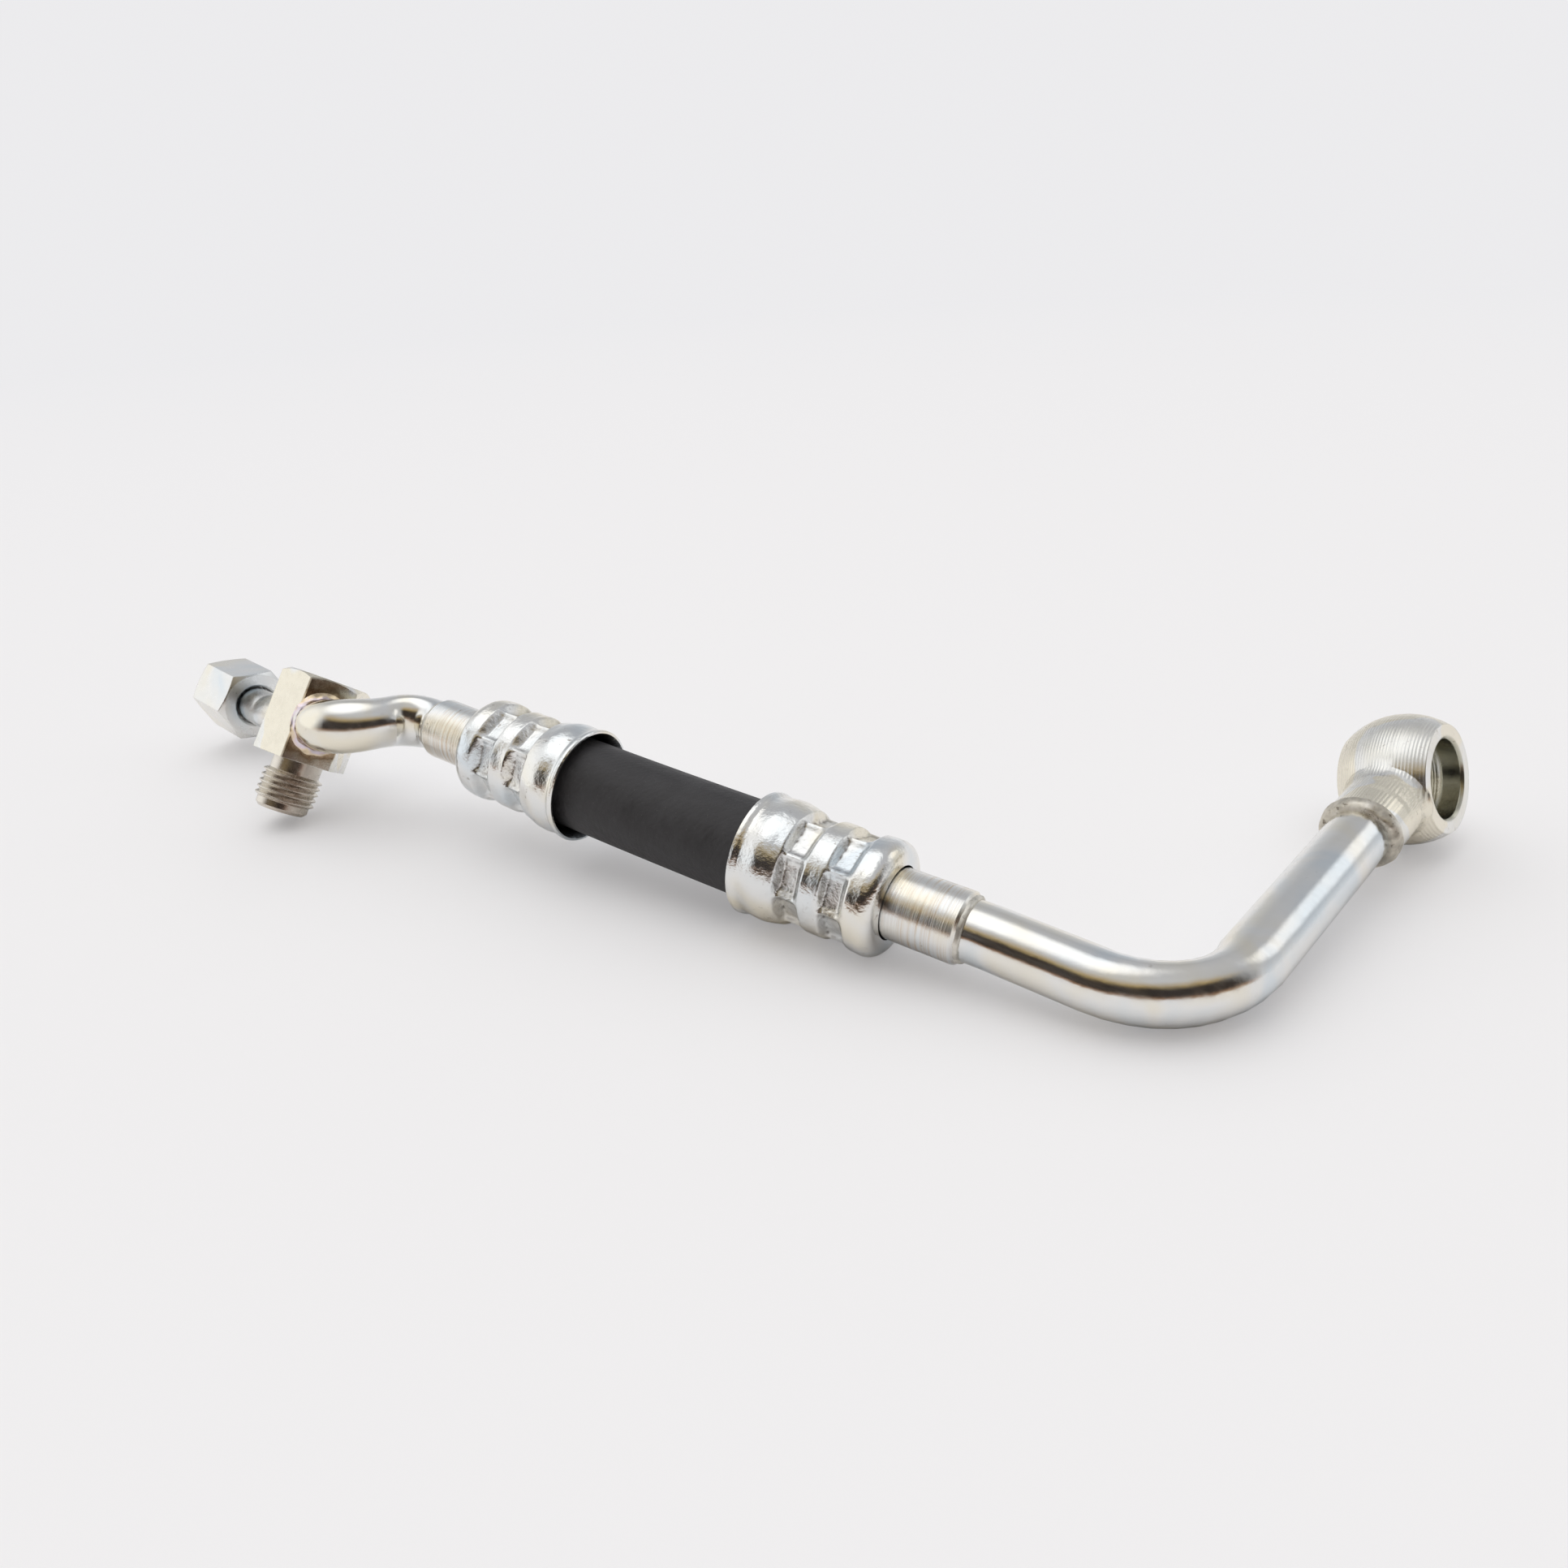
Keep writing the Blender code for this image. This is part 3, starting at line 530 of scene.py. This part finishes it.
def bead(node, place, outline_at, material):
    """A bead of braze round a tube: outline_at(turn) gives (along, radius) points, inside first."""
    turns = [math.tau * i / BEAD_SIDES for i in range(BEAD_SIDES)]
    outlines = [outline_at(turn) for turn in turns]
    last = len(outlines[0]) - 1
    rings = []
    for k in range(last + 1):
        ring = []
        for turn, outline in zip(turns, outlines):
            along, radius = outline[k]
            spot = Vector((math.cos(turn) * 4, math.sin(turn) * 4, along * 500 + BEAD_SEED))
            lump = 0.0 if k in (0, last) else BEAD_LUMPS * noise.noise(spot)
            radius += lump
            ring.append(place @ Vector((radius * math.cos(turn), radius * math.sin(turn),
                                        along + lump * 0.5)))
        rings.append(ring)
    piece = skin(node + "_bead", rings, material)
    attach(piece, "line")
    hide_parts(node)


# Pieces and finishes
along_long = (LONG_LEAN - HOSE_MIDDLE).normalized()
along_short = (SHORT_BEND_OUTER - HOSE_MIDDLE).normalized()
upward = Vector((0, 0, 1))
long_leg = frame_along(HOSE_MIDDLE + along_long * HOSE_HALF, along_long, upward)
short_leg = frame_along(HOSE_MIDDLE + along_short * HOSE_HALF, along_short, upward)
tee_face = TEE_CENTRE + TEE_FRONT * TEE_HALF
tee_side = TEE_UP.cross(TEE_FRONT)


def crimp_marks(leg):
    """Rough, dented metal in the two grooves of a ferrule, and smooth metal elsewhere."""
    def rough(shade):
        along = shade.along(leg.translation, leg.col[2].xyz)
        from_grooves = [shade.math("ABSOLUTE", shade.math("SUBTRACT", along, groove))
                        for groove in GROOVES]
        near = shade.math("MINIMUM", *from_grooves)
        inside = shade.ramp(shade.math("DIVIDE", near, 0.01), [(0.22, 1.0), (0.42, 0.10)])
        shade.bump(shade.math("MULTIPLY", shade.noise(750.0, 6.0, 0.68), inside), 0.00013)
        shade.bump(shade.noise(950.0, 3.0, 0.6), 0.00010)
    return rough


def painted_crease_shade(shade, colour):
    """Painted shade, as dark lines where ferrule_skin marks the creases."""
    dark = shade.add("ShaderNodeAttribute", attribute_name="crease_shade").outputs["Fac"]
    return shade.mix(shade.math("MULTIPLY", dark, 0.9), colour, CREASE_SHADE)


def turned_streaks(leg):
    """Straw and brown streaks round a turned collar."""
    def tint(shade, colour):
        line = shade.add("ShaderNodeCombineXYZ")
        along = shade.along(leg.translation, leg.col[2].xyz)
        shade.put(line.inputs[0], shade.math("MULTIPLY", along, 1500.0))
        streak = shade.ramp(shade.noise(1.0, 4.0, 0.75, where=line.outputs[0]),
                            [(0.47, 0.0), (0.60, 0.8)])
        patch = shade.ramp(shade.noise(75.0, 3.0), [(0.42, 0.15), (0.58, 1.0)])
        return shade.mix(shade.math("MULTIPLY", streak, patch), colour, STREAK)
    return tint


# the ferrules' finish adds painted shade in the crimp creases
for end, leg, seed in (("long", long_leg, 1.0), ("short", short_leg, 9.0)):
    finish = zinc("zinc_ferrule_" + end, 0.12, 0.24, stain=0.60, dent=0.00002, warm=0.7,
                  rough=crimp_marks(leg), overlay=painted_crease_shade)
    sleeve = ferrule_skin("ferrule_" + end + "_sleeve", leg, seed, finish)
    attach(sleeve, "line")
    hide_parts("ferrule_" + end)


def stained_front(shade, colour):
    """Heat rings on the tee's front, brown toward one side of its rim, and a grey stub with a
    painted reflection.
    """
    on_front = shade.ramp(shade.math("MULTIPLY_ADD", shade.along(tee_face, TEE_FRONT), 400.0, 0.5),
                          [(0.20, 0.0), (0.36, 1.0)])
    tinted = heat_tint(tee_face, HEAT_REACH)(shade, colour)
    # brown toward one side of the front's rim, away from the braze
    side = shade.math("MULTIPLY_ADD", shade.along(tee_face, tee_side), 50.0, 0.5)
    uneven = shade.math("MULTIPLY", shade.noise(500.0, 5.0, 0.75), 0.4)
    rim_brown = shade.ramp(shade.math("ADD", side, uneven), [(0.30, 0.95), (0.62, 0.45), (0.85, 0.0)])
    beyond = shade.ramp(shade.math("MULTIPLY", shade.distance(tee_face), 50.0),
                        [(0.34, 0.0), (0.43, 1.0)])
    tinted = shade.mix(shade.math("MULTIPLY", rim_brown, beyond), tinted, RIM_BROWN)
    colour = shade.mix(on_front, colour, tinted)
    below = shade.along(TEE_CENTRE - TEE_UP * STUB_START, TEE_UP)
    stub = shade.ramp(shade.math("MULTIPLY_ADD", below, 400.0, 0.5), [(0.40, 1.0), (0.52, 0.0)])
    # painted reflection: brown patches, broken up by noise, in a strip down the stub's middle as
    # the camera sees it
    across = shade.along(TEE_CENTRE, tee_side)
    middle = shade.ramp(shade.math("MULTIPLY_ADD", shade.math("ABSOLUTE", across), 90.0, 0.0),
                        [(0.10, 0.85), (0.50, 0.0)])
    patch = shade.math("MULTIPLY", middle, shade.noise(330.0, 4.0, 0.7), clamp=True)
    colour = shade.mix(stub, colour, STUB_GREY)
    painted_reflection = shade.math("MULTIPLY", stub, shade.math("MULTIPLY", patch, 1.1), clamp=True)
    return shade.mix(painted_reflection, colour, STUB_REFLECTION_BROWN)


eye_leg = frame_along(BANJO_CENTRE, LONG_BEND - BANJO_CENTRE, upward)


def neck_marks(shade):
    """The coarse turned band where the neck leaves the ball."""
    down = shade.along(BANJO_CENTRE, eye_leg.col[2].xyz)
    band = shade.ramp(shade.math("MULTIPLY", down, 20.0),
                      [(0.24, 0.0), (0.27, 1.0), (0.35, 1.0), (0.38, 0.0)])
    ribs = shade.noise(900.0, 4.0, 0.7, where=shade.stretched(eye_leg.col[2].xyz, 0.1))
    shade.bump(shade.math("MULTIPLY", band, ribs), 0.00025)


def olive_bore(shade, colour):
    """A duller, greenish grey inside the eye."""
    along = shade.along(BANJO_CENTRE, BANJO_AXIS)
    square = shade.square_from_axis(BANJO_CENTRE, along)
    inside = shade.ramp(shade.math("MULTIPLY", square, 5000.0), [(0.36, 1.0), (0.42, 0.0)])
    return shade.mix(inside, colour, BORE_OLIVE)


ball_rings = dict(origin=BANJO_CENTRE, axis=BANJO_AXIS, pitch=0.00060, depth=0.00004,
                  clear_of=0.0090)
long_rings = dict(origin=long_leg.translation, axis=along_long, pitch=0.00070, depth=0.00003,
                  even=0.0)
short_rings = dict(origin=short_leg.translation, axis=along_short, pitch=0.00070, depth=0.00003,
                   even=0.0)
copies = (
    ("banjo_eye", 0, zinc("zinc_banjo", 0.18, 0.30, warm=1.0, edge=0.0003, cool=BANJO_COOL,
                          rings=ball_rings, rough=neck_marks, overlay=olive_bore)),
    ("tube_long", 1, zinc("zinc_tube_long", 0.12, 0.24, stain=0.66, dent=0.00002, warm=0.4,
                          axis=along_long)),
    ("tube_short", 1, zinc("zinc_tube_short", 0.12, 0.24, stain=0.64, dent=0.000012)),
    ("tube_nut", 1, zinc("zinc_tube_nut", 0.18, 0.30, dent=0.00001)),
    ("hose_insert_long", 1, zinc("zinc_collar_long", 0.12, 0.24, warm=0.7, rings=long_rings,
                                 tint=turned_streaks(long_leg))),
    ("hose_insert_short", 1, zinc("zinc_collar_short", 0.12, 0.24, warm=0.7, rings=short_rings,
                                  tint=turned_streaks(short_leg))),
    ("tee_body", 0, zinc("zinc_tee", 0.20, 0.34, stain=0.67, dent=0.000015, warm=1.0,
                         edge=0.0002, cool=TEE_COOL, tint=stained_front)),
    ("union_nut", 0, zinc("zinc_nut", 0.26, 0.36, stain=0.74, dent=0.00001, warm=0.1,
                          edge=0.0004)),
    ("cutting_ring", 0, zinc("zinc_ring")),
    ("hose", 1, rubber("rubber_hose")),
)
for node, levels, finish in copies:
    fine_copy(node, levels, finish, "nut" if node == "union_nut" else "line")

front_face = frame_along(tee_face, TEE_FRONT, tee_side)
back_face = frame_along(TEE_CENTRE - TEE_FRONT * TEE_HALF, -TEE_FRONT, tee_side)
collar_outline = rounded_bead(COLLAR_END, TUBE_RADIUS, 0.00660, 0.0009)
neck_outline = rounded_bead(NECK_END, TUBE_RADIUS, 0.0078, 0.0024)
beads = (
    ("insert_braze_long", long_leg, collar_outline, braze("braze_long", SILVERY_BRAZE)),
    ("insert_braze_short", short_leg, collar_outline, braze("braze_short", SILVERY_BRAZE)),
    ("banjo_braze_ring", eye_leg, neck_outline, braze("braze_banjo", GREYISH_BRAZE)),
    ("tee_braze_front", front_face, fillet(TUBE_RADIUS, 0.0018, 0.0007, 0.0020),
     zinc("braze_front", 0.16, 0.28, warm=0.9, tint=heat_tint(tee_face, HEAT_REACH))),
    ("tee_braze_back", back_face, fillet(NUT_TUBE_RADIUS, 0.0018, 0.0008, 0.0020),
     zinc("braze_back", 0.16, 0.28, warm=0.9)),
)
for node, place, outline_at, finish in beads:
    bead(node, place, outline_at, finish)


# Stage, light and camera
BACKDROP = (0.84, 0.835, 0.85, 1.0)
# Bright patches of the room: direction, cosines at the outer and inner edge, strength
WINDOWS = (((-0.30, -0.02, 0.95), 0.84, 0.94, 1.35),
           ((0.58, 0.62, 0.50), 0.955, 0.985, 1.15),
           ((-0.88, -0.40, 0.28), 0.76, 0.94, 1.10))
DARK_SIDE = (0.45, -0.89, 0.0)
SUN_FROM = Vector((-0.25, 0.35, 1.0))
SUN_STRENGTH = 1.05
SUN_ANGLE = math.radians(85.0)
SUN_COLOUR = (1.0, 0.99, 0.97)
FLOOR_HALF = 12.0
FLOOR_COLOUR = (0.88, 0.875, 0.885, 1.0)


def floor():
    """A pale floor that takes the shadow and fades into the backdrop."""
    shade = Shade("floor", 0.0, 0.9)
    corners = [(-FLOOR_HALF, -FLOOR_HALF, 0), (FLOOR_HALF, -FLOOR_HALF, 0),
               (FLOOR_HALF, FLOOR_HALF, 0), (-FLOOR_HALF, FLOOR_HALF, 0)]
    made = link_mesh("floor", corners, [(0, 1, 2, 3)], shade.finish(FLOOR_COLOUR))
    shade.shader.inputs["Specular IOR Level"].default_value = 0.1
    glow = shade.add("ShaderNodeEmission")
    glow.inputs["Color"].default_value = BACKDROP
    seen = shade.add("ShaderNodeLightPath").outputs["Is Camera Ray"]
    far = shade.ramp(shade.math("MULTIPLY", shade.distance((0.0, 0.0, 0.0)), 0.25),
                     [(0.02, 0.30), (0.40, 1.0)])
    mixed = shade.add("ShaderNodeMixShader")
    shade.put(mixed.inputs[0], shade.math("MULTIPLY", far, seen))
    shade.put(mixed.inputs[1], shade.shader.outputs[0])
    shade.put(mixed.inputs[2], glow.outputs[0])
    shade.put(shade.tree.nodes["Material Output"].inputs["Surface"], mixed.outputs[0])


def world():
    """The backdrop where it is seen; to the metal, a pale room that is dark on one side."""
    made = bpy.data.worlds.new("studio")
    bpy.context.scene.world = made
    made.use_nodes = True
    tree = made.node_tree
    new, link = tree.nodes.new, tree.links.new
    place = new("ShaderNodeTexCoord").outputs["Generated"]
    split = new("ShaderNodeSeparateXYZ")
    link(place, split.inputs[0])

    def ramp(value, stops):
        node = new("ShaderNodeValToRGB")
        link(value, node.inputs["Fac"])
        fill_ramp(node.color_ramp, stops)
        return node.outputs["Color"]

    def toward(direction):
        """Cosine of the angle between a ray and a direction."""
        node = new("ShaderNodeVectorMath")
        node.operation = "DOT_PRODUCT"
        link(place, node.inputs[0])
        node.inputs[1].default_value = Vector(direction).normalized()
        return node.outputs["Value"]

    def blend(share, first, second):
        node = new("ShaderNodeMix")
        node.data_type = "RGBA"
        link(share, node.inputs["Factor"])
        for socket, value in ((node.inputs[6], first), (node.inputs[7], second)):
            if isinstance(value, tuple):
                socket.default_value = value
            else:
                link(value, socket)
        return node.outputs[2]

    dark = ramp(split.outputs["Z"], [(0.0, (0.66, 0.62, 0.58)), (0.05, (0.36, 0.20, 0.11)),
                                     (0.16, (0.035, 0.028, 0.025)), (0.52, (0.04, 0.033, 0.03)),
                                     (0.64, (0.45, 0.34, 0.17)), (0.82, (0.60, 0.60, 0.61))])
    plain = ramp(split.outputs["Z"], [(0.0, (0.82, 0.82, 0.83)), (0.25, (0.62, 0.625, 0.64)),
                                      (0.60, (0.48, 0.485, 0.50)), (1.0, (0.58, 0.58, 0.60))])
    room = blend(ramp(toward(DARK_SIDE), [(0.12, 0.0), (0.42, 1.0)]), plain, dark)
    for direction, outer, inner, strength in WINDOWS:
        room = blend(ramp(toward(direction), [(outer, 0.0), (inner, 1.0)]), room,
                     (strength, strength, strength, 1.0))
    seen = new("ShaderNodeLightPath").outputs["Is Camera Ray"]
    link(blend(seen, room, BACKDROP), tree.nodes["Background"].inputs["Color"])


def sun():
    """A wide, soft lamp for the floor and the rubber; the metal mirrors the room alone."""
    lamp = bpy.data.lights.new("softbox", "SUN")
    lamp.energy = SUN_STRENGTH
    lamp.angle = SUN_ANGLE
    lamp.color = SUN_COLOUR
    made = bpy.data.objects.new("softbox", lamp)
    bpy.context.scene.collection.objects.link(made)
    made.visible_glossy = False
    made.rotation_euler = SUN_FROM.to_track_quat("Z", "Y").to_euler()


def camera():
    data = bpy.data.cameras.new("camera")
    data.sensor_fit = "HORIZONTAL"
    data.sensor_width = SENSOR_MM
    data.lens = LENS_MM
    data.clip_start = 0.01
    made = bpy.data.objects.new("camera", data)
    bpy.context.scene.collection.objects.link(made)
    back = CAMERA_RIGHT.cross(CAMERA_UP)
    turn = Matrix((CAMERA_RIGHT, CAMERA_UP, back)).transposed().to_4x4()
    made.matrix_world = Matrix.Translation(CAMERA_PLACE) @ turn
    bpy.context.scene.camera = made


floor()
world()
sun()
camera()
bpy.context.scene.view_settings.view_transform = "Standard"
